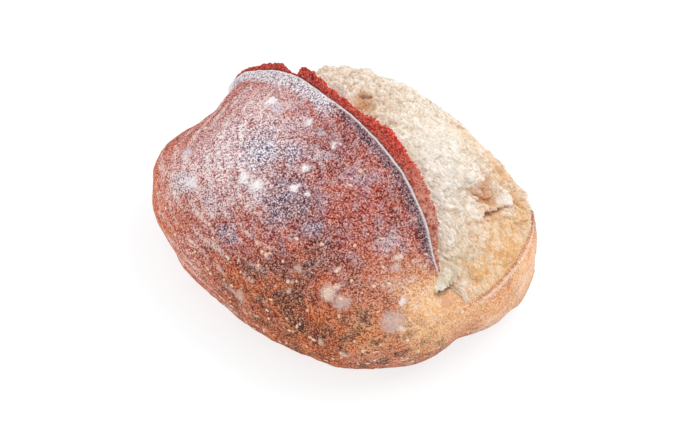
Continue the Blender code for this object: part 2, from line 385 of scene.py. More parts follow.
# Lights by place and size in metres; what the camera looks at, and how far right of it and
# below it the middle of the picture lies, in millimetres
LAMPS = (("key", (0.5, 0.55, 0.9), 0.9), ("fill", (-0.9, -0.5, 0.6), 1))
LOOK_AT = Vector((0, -SIDE_SHIFT, 45 * MM))
AIM_RIGHT = 3.5
AIM_BELOW = 5.7


def smooth(low, high, value):
    """Eased step from 0 at low to 1 at high."""
    share = np.clip((value - low) / (high - low), 0.0, 1.0)
    return share * share * (3.0 - 2.0 * share)


def plan_radius(turn):
    """Radius of the widest level over the angle in plan."""
    return MEAN_RADIUS * (1.0 + OVAL * np.cos(2.0 * turn) + EGG * np.cos(3.0 * (turn - EGG_TURN))
                          + SQUARE * np.cos(4.0 * (turn - SQUARE_TURN)))


def body_share(point):
    """How far out a point lies in the plain form: under 1 inside, 1 on the surface."""
    x, y, z = point[:, 0], point[:, 1], point[:, 2]
    out = np.hypot(x, y) / plan_radius(np.arctan2(y, x))
    crown = (HEIGHT - BELLY) * np.clip(1.0 + CROWN_LEAN * y, 0.3, 2.0)
    above = np.maximum((z - BELLY) / crown, 0.0)
    below = np.maximum((BELLY - z) / (BELLY * FOOT_DEPTH), 0.0)
    upper = (out ** CROWN_POWER + above ** CROWN_POWER) ** (1.0 / CROWN_POWER)
    lower = (out ** FOOT_POWER + below ** FOOT_POWER) ** (1.0 / FOOT_POWER)
    swell = np.ones(len(point))
    for centre, width, share in SWELLS:
        gap = ((point / MM - np.array(centre)) ** 2).sum(axis=1)
        swell += share * np.exp(-gap / width ** 2)
    return np.where(z > BELLY, upper, lower) / swell


def surface_reach(ray):
    """Distance from the middle to the plain form along each ray, cut off at the ground."""
    near, middle = np.zeros(len(ray)), np.array(MIDDLE)
    down = np.minimum(ray[:, 2], -1e-9)
    far = np.where(ray[:, 2] < -1e-6, -MIDDLE.z / down, 2.0 * MEAN_RADIUS)
    far = np.minimum(far, 2.0 * MEAN_RADIUS)
    for _ in range(HALVINGS):
        half = 0.5 * (near + far)
        inside = body_share(middle + ray * half[:, None]) < 1.0
        near = np.where(inside, half, near)
        far = np.where(inside, far, half)
    return far


def crest_angle(station):
    """Angle of the crest round the score's line, in degrees, over the station in degrees."""
    front = np.maximum(station - 30.0, 0.0) / 40.0
    back = np.maximum(-20.0 - station, 0.0) / 40.0
    return CREST_ANGLE + CREST_BACK * back ** 2 + CREST_FRONT * front ** 2


def lip_angle(station):
    """Angle of the lower lip round the score's line, in degrees."""
    return by_station(LIP_LINE, station)


def by_station(table, station):
    """Value of a table of station and value pairs."""
    return np.interp(station, [row[0] for row in table], [row[1] for row in table])


def ear_rise(station):
    """Height of the ear, falling off at both ends."""
    return EAR_HEIGHT * smooth(79.0, 58.0, station) * smooth(-90.0, -86.0, station)


def opening_depth(station):
    """Depth of the opening, shallower at the high end and falling off at both ends."""
    high = 1.0 - 0.50 * np.exp(-((station + 46.0) / 16.0) ** 2)
    return OPENING_DEPTH * high * smooth(90.0, 70.0, station) * smooth(-90.0, -80.0, station)


def teeth(station):
    """Small rounded teeth of the torn edge, in degrees."""
    wide = np.array([noise.turbulence(Vector((v / 2.2, 0.0, 0.0)), 2, True) for v in station])
    narrow = np.array([noise.turbulence(Vector((v / 0.9, 7.0, 0.0)), 1, True) for v in station])
    return 2.6 * (wide - 0.35) + 1.4 * (narrow - 0.25)


def profile_at(share, station):
    """Angle round the score's line and the ear, opening and lip weights at each vertex."""
    rows = PROFILE
    step = np.clip(np.searchsorted(rows[:, 0], share, side="right") - 1, 0, len(rows) - 2)
    part = (share - rows[step, 0]) / (rows[step + 1, 0] - rows[step, 0])
    crest, lip = crest_angle(station), lip_angle(station)
    width = by_station(TORN_WIDTH, station)
    first, last = (np.where(rows[k, 1] == 1, lip, crest) + rows[k, 2] + rows[k, 3] * width
                   for k in (step, step + 1))
    weights = rows[step, 4:] * (1.0 - part)[:, None] + rows[step + 1, 4:] * part[:, None]
    angle = first * (1.0 - part) + last * part
    torn = weights[:, 0] * (share > TORN_START) * (share < TORN_END) * np.minimum(width / 6.0, 1.0)
    angle += torn * teeth(station)
    return angle, weights


def score_frame():
    """Unit directions along the score, to its open side and up."""
    along = np.array((math.cos(SCORE_TURN), math.sin(SCORE_TURN), 0.0))
    open_side = np.array((-math.sin(SCORE_TURN), math.cos(SCORE_TURN), 0.0))
    return along, open_side, np.array((0.0, 0.0, 1.0))


def score_coordinates(point):
    """Places along the score, to its open side and up."""
    return np.stack([point @ axis for axis in score_frame()], axis=1)


def lumps(point, size, stretch=1.0, octaves=3, shift=0.0):
    """Smooth noise of one size at each point, drawn out along the score by the stretch."""
    local = score_coordinates(point) / (size * MM)
    local[:, 0] /= stretch
    local += shift
    return np.array([noise.fractal(Vector(row), 1.0, 2.0, octaves) for row in local])


def folds(point, size, turn, stretch, shift):
    """Rounded folds with sharp creases between them, from 0 in the creases to about 1."""
    run = math.cos(turn), math.sin(turn)
    along = (point[:, 0] * run[0] + point[:, 1] * run[1]) / stretch
    across = point[:, 1] * run[0] - point[:, 0] * run[1]
    rows = np.stack([along, across, point[:, 2]], axis=1) / (size * MM) + shift
    return np.array([noise.turbulence(Vector(row), 1, True) for row in rows])


def gaps(point, centre):
    """Distance of each point from a place, in millimetres."""
    return np.linalg.norm(point / MM - np.array(centre), axis=1)


def line_gap(point, start, end):
    """Distance of each point from a straight line between two places, in millimetres."""
    start, run = np.array(start), np.array(end) - np.array(start)
    part = np.clip((point / MM - start) @ run / (run @ run), 0.0, 1.0)
    return np.linalg.norm(point / MM - start - part[:, None] * run, axis=1)


def bell(gap, radius, edge=2):
    """Share that falls from 1 to 0 about the radius, more suddenly for a higher edge."""
    return np.exp(-(gap / radius) ** edge)


def spot_lift(point):
    """Height that the blisters and hollows add at each point."""
    lift = np.zeros(len(point))
    for centre, radius, height in SPOTS:
        lift += height * MM * bell(gaps(point, centre), radius, 4)
    return lift


def fleck_lift(point):
    """Height of the caked flour and blisters at each point."""
    lift = np.zeros(len(point))
    for centre, radius, colour, strength, height in FLECKS:
        lift += height * MM * bell(gaps(point, centre), radius, 6)
    return lift


def crack_depth(point):
    """Depth of the cracks at each point."""
    depth = np.zeros(len(point))
    for start, end, half_width, deep in CRACKS:
        depth = np.maximum(depth, deep * MM * bell(line_gap(point, start, end), half_width))
    return depth


def wrinkles(point):
    """Strength of the crust's fine raised wrinkles at each point."""
    bent = wander(point, (6.0, 1.5))
    return np.max([bell(line_gap(bent, *line), WRINKLE_WIDTH) for line in WRINKLES], axis=0)


def zone(point, patches):
    """Strength of a set of soft round patches at each point."""
    total = np.zeros(len(point))
    for centre, radius, strength in patches:
        total = np.maximum(total, strength * bell(gaps(point, centre), radius))
    return total


def zone_of(point, patches, start):
    """Strength at each point of the patches whose colour's name starts so."""
    return zone(point, [(centre, radius, strength) for centre, radius, name, strength in patches
                        if name.startswith(start)])


def plain_tint(name, count, colours):
    """One colour for a number of places."""
    return np.tile(np.array(getattr(colours, name)), (count, 1))


def layered(tint, colours, layers):
    """Lays colours over others in turn: pairs of a colour's name and its share at each place."""
    for name, share in layers:
        tint = tint + share[:, None] * (np.array(getattr(colours, name)) - tint)
    return tint


def patched(tint, place, patches, colours, edge=3):
    """Lays round patches of colour over others in turn."""
    return layered(tint, colours, [(name, strength * bell(gaps(place, centre), radius, edge))
                                   for centre, radius, name, strength, *_ in patches])


def wander(point, *sizes):
    """Places moved about by noise, for uneven edges: pairs of lump size and reach in millimetres."""
    moved = point.copy()
    for size, reach in sizes:
        shifts = [lumps(point, size, octaves=2, shift=shift) for shift in (3.0, 11.0, 19.0)]
        moved += reach * MM * np.stack(shifts, axis=1)
    return moved


def from_middle(ray, reach):
    """Points at a distance from the middle along each ray."""
    return np.array(MIDDLE) + ray * reach[:, None]


def rays(angle, station):
    """Directions from the middle for the angle round the score's line and the station."""
    along, open_side, up = score_frame()
    turn, tilt = np.radians(angle), np.radians(station)
    return (np.sin(tilt)[:, None] * along - (np.cos(tilt) * np.cos(turn))[:, None] * open_side
            + (np.cos(tilt) * np.sin(turn))[:, None] * up)


def settle(plain, ray, reach, lift):
    """Points pushed out by their lift, kept on or above the ground and moved to the side."""
    point = from_middle(ray, reach + lift)
    beyond = np.abs(point[:, 0]) - SIDE_LIMIT
    point[:, 0] -= np.sign(point[:, 0]) * SIDE_PULL * np.maximum(beyond, 0.0)
    point[plain[:, 2] < GROUND_GAP, 2] = 0.0
    point[:, 2] = np.maximum(point[:, 2], 0.0)
    point[:, 1] -= SIDE_SHIFT
    return point


def crumb_start(station):
    """Angle of the crumb's edge at the ear."""
    width = by_station(TORN_WIDTH, station)
    return crest_angle(station) + CRUMB_EDGE * width + by_station(CRUMB_TURN, station)


def gap_length(angle, edge, station, reach):
    """Distance over the surface from an edge to an angle, in metres."""
    return np.radians(angle - edge) * np.cos(np.radians(station)) * reach


def loaf_surface(share, station, extra_lift):
    """Loaf surface for the share of the way round and the station in degrees.

    extra_lift gives fine relief. Returns the points, the plain points that patterns are laid on,
    their angles and how far out they lie.
    """
    angle, weights = profile_at(share, station)
    ray = rays(angle, station)
    reach = surface_reach(ray)
    plain = from_middle(ray, reach)
    crust = (1.0 - np.clip(weights[:, 1], 0.0, 1.0)) * smooth(0.0, 20.0 * MM, plain[:, 2])
    fringe = 1.0 + by_station(FRINGE, station) * smooth(0.515, 0.555, share)
    lift = ear_rise(station) * fringe * weights[:, 0] - opening_depth(station) * weights[:, 1]
    lift += LIP_HEIGHT * smooth(87.0, 80.0, station) * smooth(-90.0, -78.0, station) * weights[:, 2]
    lift += 0.6 * MM * crust * lumps(plain, 22.0)
    lift += spot_lift(plain) - crack_depth(plain)
    lift += extra_lift(plain, share, station, weights, angle, reach)
    return settle(plain, ray, reach, lift), plain, angle, reach


def store(mesh, name, values):
    """Writes one number per vertex for the materials to read."""
    attribute = mesh.attributes.new(name, "FLOAT", "POINT")
    attribute.data.foreach_set("value", np.asarray(values, dtype=np.float32))


def store_tint(mesh, tint):
    """Writes one colour per vertex for the materials to read."""
    colour = np.ones((len(tint), 4), np.float32)
    colour[:, :3] = tint
    mesh.attributes.new("tint", "FLOAT_COLOR", "POINT").data.foreach_set("color", colour.ravel())


def finish_piece(name, mesh, material):
    """Puts a mesh in the scene as a smooth piece that rides on the loaf and stands for its solid."""
    mesh.polygons.foreach_set("use_smooth", [True] * len(mesh.polygons))
    mesh.materials.clear()
    mesh.materials.append(material)
    piece = bpy.data.objects.new(name, mesh)
    bpy.context.scene.collection.objects.link(piece)
    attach(piece, BODY)
    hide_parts(NODE)
    return piece


def ring_faces(here, there):
    """Four-cornered faces between two rings of vertex numbers."""
    return np.stack([here, np.roll(here, -1), np.roll(there, -1), there], axis=1).tolist()


def outward_mesh(name, points, faces):
    """Closed mesh with its faces turned outwards."""
    first, second, third = (points[[face[k] for face in faces]] for k in range(3))
    if np.einsum("ij,ij->", first - points.mean(0), np.cross(second - first, third - first)) < 0.0:
        faces = [face[::-1] for face in faces]
    mesh = bpy.data.meshes.new(name)
    mesh.from_pydata(points.tolist(), [], faces)
    mesh.update()
    return mesh


def loft(name, sections):
    """Closed mesh through rings of points, capped at both ends."""
    count, around = sections.shape[:2]
    rows = np.arange(count * around).reshape(count, around)
    faces = [face for here, there in zip(rows, rows[1:]) for face in ring_faces(here, there)]
    faces += [rows[0, ::-1].tolist(), rows[-1].tolist()]
    return outward_mesh(name, sections.reshape(-1, 3), faces)


def globe(name, points, around):
    """Closed mesh from a pole through rings of points to the other pole."""
    last = len(points) - 1
    rows = np.arange(1, last).reshape(-1, around)
    faces = [[0, after, before] for before, after in zip(rows[0], np.roll(rows[0], -1))]
    faces += [face for here, there in zip(rows, rows[1:]) for face in ring_faces(here, there)]
    faces += [[last, before, after] for before, after in zip(rows[-1], np.roll(rows[-1], -1))]
    return outward_mesh(name, points, faces)


# Finishes


def linear(red, green, blue):
    """Linear colour of a display colour in 0 to 255 steps."""
    return tuple(((c / 255.0 + 0.055) / 1.055) ** 2.4 if c > 10 else c / 3294.6
                 for c in (red, green, blue))


class Finish:
    """Short hand for laying out a material's nodes."""

    def __init__(self, name):
        self.material = bpy.data.materials.new(name)
        self.material.use_nodes = True
        self.tree = self.material.node_tree
        self.shader = self.tree.nodes["Principled BSDF"]
        self.place = self.add("ShaderNodeTexCoord").outputs["Object"]

    def add(self, kind, **settings):
        """New node with its settings."""
        made = self.tree.nodes.new(kind)
        for key, value in settings.items():
            setattr(made, key, value)
        return made

    def plug(self, socket, value):
        """Links an output to a socket, or sets the socket's own value. Colours get full cover."""
        if isinstance(value, bpy.types.NodeSocket):
            self.tree.links.new(value, socket)
        elif socket.type == "RGBA":
            socket.default_value = (*value, 1.0)
        else:
            socket.default_value = value

    def masked(self, name):
        """Number stored on the mesh under a name."""
        return self.add("ShaderNodeAttribute", attribute_name=name).outputs["Fac"]

    def coloured(self, name):
        """Colour stored on the mesh under a name."""
        return self.add("ShaderNodeAttribute", attribute_name=name).outputs["Color"]

    def gain(self, colour, factor):
        """Colour times a factor."""
        scaled = self.add("ShaderNodeVectorMath", operation="SCALE")
        self.plug(scaled.inputs[0], colour)
        self.plug(scaled.inputs["Scale"], factor)
        return scaled.outputs[0]

    def math(self, operation, first, second=0.0, third=0.0, clamp=False):
        """One arithmetic step."""
        made = self.add("ShaderNodeMath", operation=operation, use_clamp=clamp)
        for socket, value in zip(made.inputs, (first, second, third)):
            self.plug(socket, value)
        return made.outputs[0]

    def fade(self, value, low, high, low_to=0.0, high_to=1.0):
        """Value eased from low_to at low to high_to at high."""
        made = self.add("ShaderNodeMapRange", interpolation_type="SMOOTHSTEP")
        for socket, item in zip(made.inputs, (value, low, high, low_to, high_to)):
            self.plug(socket, item)
        return made.outputs[0]

    def blend(self, share, first, second, mode="MIX"):
        """Two colours mixed by a share."""
        made = self.add("ShaderNodeMix", data_type="RGBA", blend_type=mode)
        for number, item in ((0, share), (6, first), (7, second)):
            self.plug(made.inputs[number], item)
        return made.outputs[2]

    def cloud(self, size, detail=2.0, rough=0.5, stretch=(1.0, 1.0, 1.0), turn=0.0):
        """Smooth noise whose lumps are about size millimetres across."""
        place = self.place
        if stretch != (1.0, 1.0, 1.0):
            mapping = self.add("ShaderNodeMapping", vector_type="TEXTURE")
            mapping.inputs["Rotation"].default_value = (0.0, 0.0, turn)
            mapping.inputs["Scale"].default_value = stretch
            self.plug(mapping.inputs["Vector"], place)
            place = mapping.outputs["Vector"]
        made = self.add("ShaderNodeTexNoise", noise_dimensions="3D")
        self.plug(made.inputs["Vector"], place)
        made.inputs["Scale"].default_value = 1.0 / (size * MM)
        made.inputs["Detail"].default_value = detail
        made.inputs["Roughness"].default_value = rough
        return made.outputs["Fac"]

    def grains(self, size):
        """Round grains of one size: roundness, and two random numbers for each grain."""
        made = self.add("ShaderNodeTexVoronoi", voronoi_dimensions="3D", feature="F1")
        self.plug(made.inputs["Vector"], self.place)
        made.inputs["Scale"].default_value = 1.0 / (size * MM)
        split = self.add("ShaderNodeSeparateColor")
        self.plug(split.inputs[0], made.outputs["Color"])
        roundness = self.fade(made.outputs["Distance"], 0.25, 0.62, 1.0, 0.0)
        return roundness, split.outputs[0], split.outputs[1]

    def bump(self, height, depth, under=None):
        """Surface direction from a height that stands depth millimetres proud."""
        made = self.add("ShaderNodeBump")
        made.inputs["Strength"].default_value = 1.0
        made.inputs["Distance"].default_value = depth * MM
        self.plug(made.inputs["Height"], height)
        if under is not None:
            self.plug(made.inputs["Normal"], under)
        return made.outputs["Normal"]

    def speckle(self, colour, sizes, strength, dark, light, lit=0.7):
        """Colour broken up by darker and lighter grains, and the grains' own pattern."""
        first, second = (self.grains(size) for size in sizes)
        mixed = self.math("MULTIPLY_ADD", first[1], 0.6, self.math("MULTIPLY", second[1], 0.4))
        low = self.math("MULTIPLY", self.fade(mixed, 0.50, 0.27), strength, clamp=True)
        lit = self.math("MULTIPLY", strength, lit)
        high = self.math("MULTIPLY", self.fade(mixed, 0.53, 0.74), lit, clamp=True)
        colour = self.blend(low, colour, dark, "MULTIPLY")
        return self.blend(high, colour, light), mixed

    def surface(self, colour, roughness, normal=None):
        """Sets the shader's colour, roughness and surface direction."""
        self.plug(self.shader.inputs["Base Color"], colour)
        self.plug(self.shader.inputs["Roughness"], roughness)
        self.shader.inputs["Specular IOR Level"].default_value = 0.25
        if normal is not None:
            self.plug(self.shader.inputs["Normal"], normal)
        return self.material


def crust_finish(colours):
    """Baked crust in fine light and dark grains, with flour grains on it."""
    nodes = Finish("floured_crust")
    low, pale, flour, grainy = (nodes.masked(name) for name in ("low", "pale", "flour", "grainy"))
    light = nodes.blend(low, colours.grain_rosy, colours.grain_warm)
    light = nodes.blend(pale, light, colours.grain_cream)
    light = nodes.blend(flour, light, colours.grain_white)
    dark = nodes.blend(low, colours.grain_wine, colours.grain_dark)
    dark = nodes.blend(pale, dark, colours.grain_amber)
    lit = nodes.math("MULTIPLY_ADD", flour, 0.28, 0.55)
    colour, mixed = nodes.speckle(nodes.coloured("tint"), (0.70, 0.50), grainy, dark, light, lit)
    small = nodes.cloud(3.4, 2.0, 0.6)
    cover = nodes.math("MULTIPLY_ADD", flour, 0.16, 0.07)
    cover = nodes.math("MULTIPLY_ADD", nodes.math("SUBTRACT", small, 0.5), 0.30, cover)
    roundness, _, pick = nodes.grains(0.95)
    white = nodes.fade(nodes.math("ADD", pick, cover), 0.98, 1.02)
    white = nodes.math("MULTIPLY", roundness, white)
    white = nodes.math("MULTIPLY", white, nodes.math("MULTIPLY", grainy, 0.95, clamp=True), clamp=True)
    relief = nodes.bump(mixed, 0.16, nodes.bump(small, 0.4))
    return nodes.surface(nodes.blend(white, colour, light), 0.8, relief)


def crumb_finish(colours):
    """Opened crumb: soft light and dark flecks on the painted tint, with fine strands."""
    nodes = Finish("opened_crumb")
    colour, _ = nodes.speckle(nodes.coloured("tint"), (0.9, 0.6), 0.24, colours.crumb_shade,
                              colours.grain_white)
    strands = nodes.cloud(0.8, 2.0, 0.65, (6.0, 1.0, 1.0), SCORE_TURN)
    colour = nodes.gain(colour, nodes.fade(strands, 0.34, 0.60, 0.82, 1.08))
    return nodes.surface(colour, 0.85, nodes.bump(strands, 0.8, nodes.bump(nodes.cloud(0.5, 1.0), 0.12)))


def torn_finish(colours):
    """Torn edge: granular red-brown crumbs with a few pale ones."""
    nodes = Finish("torn_edge")
    colour, mixed = nodes.speckle(nodes.coloured("tint"), (0.85, 0.6), 0.75, colours.grain_dark,
                                  colours.torn_pale, 0.6)
    return nodes.surface(colour, 0.75, nodes.bump(mixed, 0.3, nodes.bump(nodes.cloud(0.6, 2.0), 0.3)))


def caked_finish(name, first, second):
    """Caked flour, a little uneven between two colours."""
    nodes = Finish(name)
    colour = nodes.blend(nodes.fade(nodes.cloud(1.6, 2.0, 0.6), 0.35, 0.65), first, second)
    return nodes.surface(colour, 0.9, nodes.bump(nodes.cloud(0.7, 2.0, 0.6), 0.2))


def floor_finish(stage, colours):
    """Plain pale matt floor that gives back a little light of its own, as a lit sheet does."""
    nodes = Finish("pale_floor")
    nodes.plug(nodes.shader.inputs["Emission Color"], (1.0, 1.0, 1.0))
    nodes.plug(nodes.shader.inputs["Emission Strength"], stage.floor_glow)
    return nodes.surface(colours.floor, 0.9)


# Crust


def ridges(point):
    """Pattern of the dents low on the shown side: near 0 along the ridges between them."""
    return folds(wander(point, (14.0, 6.0), (5.0, 2.0)), 15.0, RIDGE_TURN, 1.6, 71.0)


def streaks(point):
    """Flour streaks in level rings round the loaf, from about -1 to 1."""
    turn = np.arctan2(point[:, 1], point[:, 0])
    rise = np.arctan2(point[:, 2] - BELLY, np.hypot(point[:, 0], point[:, 1]))
    rows = np.stack([np.cos(turn) * 4.0, np.sin(turn) * 4.0, rise * 16.0], axis=1)
    cloud = np.array([noise.fractal(Vector(row), 1.0, 2.0, 3) for row in rows])
    rings = np.sin(rise * 84.0 + 3.0 * lumps(point, 30.0, octaves=2, shift=61.0))
    return 0.7 * cloud + 0.5 * rings * smooth(-0.4, 0.2, cloud)


def crust_relief(plain, share, station, weights, angle, reach):
    """Fine relief of the crust, and the recess under the pieces laid over it."""
    crust = (1.0 - np.clip(weights[:, 1], 0.0, 1.0)) * smooth(0.0, 6.0 * MM, plain[:, 2])
    coarse, fine = lumps(plain, 4.5, shift=7.0), lumps(plain, 1.8, octaves=2)
    lift = MM * crust * (0.25 * coarse + 0.12 * fine)
    lift += fleck_lift(wander(plain, FLECK_EDGE)) + 0.5 * MM * wrinkles(plain)
    lift -= 1.6 * MM * crust * zone(plain, DENTED) * smooth(0.0, 0.5, ridges(plain))
    into = gap_length(angle, crumb_start(station), station, reach)
    left = gap_length(lip_angle(station) - CRUMB_INSET, angle, station, reach)
    under_crumb = smooth(0.8 * MM, 4.0 * MM, into) * smooth(0.2 * MM, 3.0 * MM, left)
    under_torn = smooth(0.507, 0.515, share) * smooth(0.602, 0.590, share)
    return lift - CRUST_SINK - UNDER_CRUMB * under_crumb - UNDER_TORN * under_torn


def crust_ground(plain, place, floured, foot, spare, colours):
    """Colours of the crust itself, with its flour streaks, mottles, bluish flour and dents."""
    left = smooth(-10.0 * MM, -70.0 * MM, plain[:, 0] + 0.5 * plain[:, 1])
    veil = 1.35 * streaks(plain) * (0.30 + 0.70 * left) + 0.4 * lumps(plain, 6.0, shift=5.0)
    veil = np.clip(veil, -0.6, 0.8)
    mottle = lumps(plain, 7.0, shift=41.0)
    dull = spare * foot * smooth(-60.0 * MM, -10.0 * MM, plain[:, 0])
    tint = patched(plain_tint("crust_red", len(plain), colours), place, CRUST_PATCHES, colours)
    tint = layered(tint, colours, (
        ("flour_veil", np.clip(veil, 0.0, 1.0) * np.maximum(0.25 + 0.6 * floured, 0.95 * left)),
        ("crust_red", np.clip(-1.2 * veil, 0.0, 1.0) * (0.5 + 0.5 * floured)),
        ("crust_grey", 0.8 * dull * smooth(0.0, 0.28, mottle)),
        ("crust_fire", 0.45 * spare * foot * smooth(-0.02, -0.30, mottle)),
        ("crust_fire", 0.35 * (1.0 - foot) * smooth(0.1, 0.4, lumps(plain, 4.0, shift=47.0))),
        ("flour_pale", 0.30 * (1.0 - foot) * smooth(0.05, 0.35, lumps(plain, 6.0, shift=53.0))),
    ))
    ridge, dented = ridges(plain), spare * zone(plain, DENTED)
    return layered(patched(tint, place, BLUE_PATCHES, colours), colours, (
        ("crust_slate", 0.45 * dented * smooth(0.22, 0.45, ridge)),
        ("crust_vein", 0.85 * dented * smooth(0.20, 0.05, ridge)),
        ("flour_cream", 0.8 * wrinkles(plain)),
    ))


def paint_crust(mesh, plain, share, station, angle, reach, colours):
    """Stores the crust's colours, with painted shade and highlights along the ear's crest and the lower
    lip, and where it is floured and grainy.
    """
    place, spots = wander(plain, (14.0, 6.0), (5.0, 2.5)), wander(plain, FLECK_EDGE)
    floured = zone_of(place, CRUST_PATCHES, "crust_floured")
    bluish = zone_of(place, BLUE_PATCHES, "flour")
    calm = zone(plain, CALM)
    foot = smooth(80.0 * MM, 48.0 * MM, plain[:, 2])
    tint = crust_ground(plain, place, floured, foot, 1.0 - calm, colours)
    below = -gap_length(angle, crest_angle(station), station, reach) / MM
    edge = below + 2.2 * lumps(plain, 4.0, octaves=2)
    near = (share < 0.52) * (share > 0.3)
    pale_strip = near * smooth(9.5, 4.0, edge) * smooth(-12.0, -28.0, station)
    # Painted shade: a dark strip on the crust just below the ear's crest
    shade_strip = near * smooth(5.6, 2.6, edge) * smooth(-30.0, -8.0, station) * smooth(80.0, 68.0, station)
    tint = layered(tint, colours, (("flour_pale", 0.80 * pale_strip), ("crest_strip_shade", 0.85 * shade_strip)))
    # Painted highlight: a pale line along the ear's crest
    crest = near * bell(below - 0.45, 0.6) * smooth(79.0, 76.0, station)
    # Painted highlight: a pale line along the rim of the lower lip
    past_lip = gap_length(angle, lip_angle(station), station, reach) / MM
    past_lip += np.where(share < 0.5, 2.0 * math.pi * np.cos(np.radians(station)) * reach / MM, 0.0)
    lip = bell(past_lip - 1.3, 1.2) * smooth(20.0, 50.0, station) * smooth(86.0, 80.0, station)
    foot_line = 5.0 * MM * lumps(plain, 9.0, shift=73.0) + plain[:, 2]
    front = smooth(0.0, 40.0 * MM, plain[:, 0])
    store_tint(mesh, layered(patched(tint, spots, FLECKS, colours, 7), colours, (
        ("crest_highlight", 0.9 * crest),
        ("lip_rim_highlight", 0.85 * lip),
        # Painted shade in the crease of the lower lip
        ("lip_crease_shade", 0.5 * smooth(0.987, 0.990, share) * smooth(0.998, 0.996, share)),
        ("flour_veil", (0.3 + 0.35 * front) * smooth(9.0 * MM, 3.0 * MM, foot_line)),
    )))
    grainy = 1.0 - 0.25 * calm + 0.30 * bluish + 0.2 * pale_strip
    caked = zone(spots, [(centre, radius, 1.0) for centre, radius, *_ in FLECKS])
    store(mesh, "flour", np.clip(1.4 * floured + 0.35 * bluish + pale_strip, 0.0, 1.0))
    store(mesh, "pale", calm)
    store(mesh, "low", foot)
    store(mesh, "grainy", grainy * (1.0 - 0.8 * crest) * (1.0 - 0.8 * caked))
    store(mesh, "on_crust", 1.0 - smooth(0.495, 0.500, share) * smooth(0.999, 0.992, share))


def shell_share(turn):
    """Share of the profile for the turn round the spindle, closest together on the shown crust."""
    return np.interp(turn, (0.0, 0.03, 0.20, 0.55, 0.80, 0.88, 0.96, 1.0),
                     (0.0, 0.03, 0.12, 0.38, 0.515, 0.61, 0.96, 1.0))


def make_crust(sizes, colours):
    """Whole crust as one closed skin, with the ear's top and the lower lip."""
    around, rings = sizes.crust_segments, sizes.crust_rings - 1
    line = np.linspace(-90.0, 90.0, rings + 2)
    station = np.concatenate([line[:1], np.repeat(line[1:-1], around), line[-1:]])
    share = shell_share(np.concatenate([[0.0], np.tile(np.arange(around) / around, rings), [0.0]]))
    points, plain, angle, reach = loaf_surface(share, station, crust_relief)
    mesh = globe("crust", points, around)
    paint_crust(mesh, plain, share, station, angle, reach, colours)
    return finish_piece("crust", mesh, crust_finish(colours))


# Crumb and torn edge


def band(name, top):
    """Closed piece under a grid of surface points, its long edges tucked into the loaf."""
    ends = top[:, [-1, 0]]
    inward = np.array(MIDDLE) - ends
    inward /= np.linalg.norm(inward, axis=2, keepdims=True)
    return loft(name, np.concatenate([top, ends + TUCK * inward], axis=1))


def spread_tint(tint, rings, across):
    """Tint of a banded piece with its hidden underside's vertices added."""
    table = tint.reshape(rings, across, 3)
    return np.concatenate([table, table[:, [-1, 0]]], axis=1).reshape(-1, 3)


def opening_lift(plain, angle, station):
    """Depth of the opening under the plain form and rise of its front lobe, with broad crags."""
    past, width = angle - crest_angle(station), by_station(TORN_WIDTH, station)
    lobe = smooth(5.0, -4.0, past)
    opened = np.interp(lip_angle(station) - angle, (0.9, 5.0, 18.0), (0.0, 0.3, 1.0))
    opened *= 0.75 + 0.25 * smooth(42.0, 50.0, station)
    past_edge = (past - CRUMB_EDGE * width) / ((1.0 - CRUMB_EDGE) * width + 0.3)
    opened *= 0.5 + 0.5 * np.clip(past_edge, 0.0, 1.0)
    lift = -opening_depth(station) * opened * (1.0 - lobe) + LOBE_HEIGHT * lobe
    lift += 0.6 * MM * lobe * lumps(plain, 22.0)
    return lift + 1.5 * MM * opened * (1.0 - lobe) * lumps(plain, 9.0, 2.5, 4)


def crumb_relief(plain, station):
    """Folded, flaky relief of the crumb in metres, and how far each place lies in a crease, where shade is
    painted.
    """
    bent = wander(plain, (12.0, 5.0), (4.0, 1.4))
    sloped = smooth(-10.0, 40.0, station)
    relief, crease = 0.0, 0.0
    for size, stretch, shift, height, middle, strength, start, end in CRUMB_FOLDS:
        fold = (1.0 - sloped) * folds(bent, size, LEVEL_TURN, stretch, shift)
        fold += sloped * folds(bent, size, SCORE_TURN, stretch, shift + 50.0)
        relief = relief + height * (fold - middle)
        crease = crease + strength * smooth(start, end, fold)
    pits = smooth(0.32, 0.60, lumps(plain, 2.4, octaves=2, shift=31.0))
    end_part = smooth(48.0, 60.0, station) * smooth(96.0 * MM, 114.0 * MM, plain[:, 0] + 0.3 * plain[:, 2])
    calm = 1.0 - 0.55 * end_part
    return MM * calm * (relief - PIT_DEPTH * pits), np.clip(crease + 0.6 * pits, 0.0, 1.0) * calm


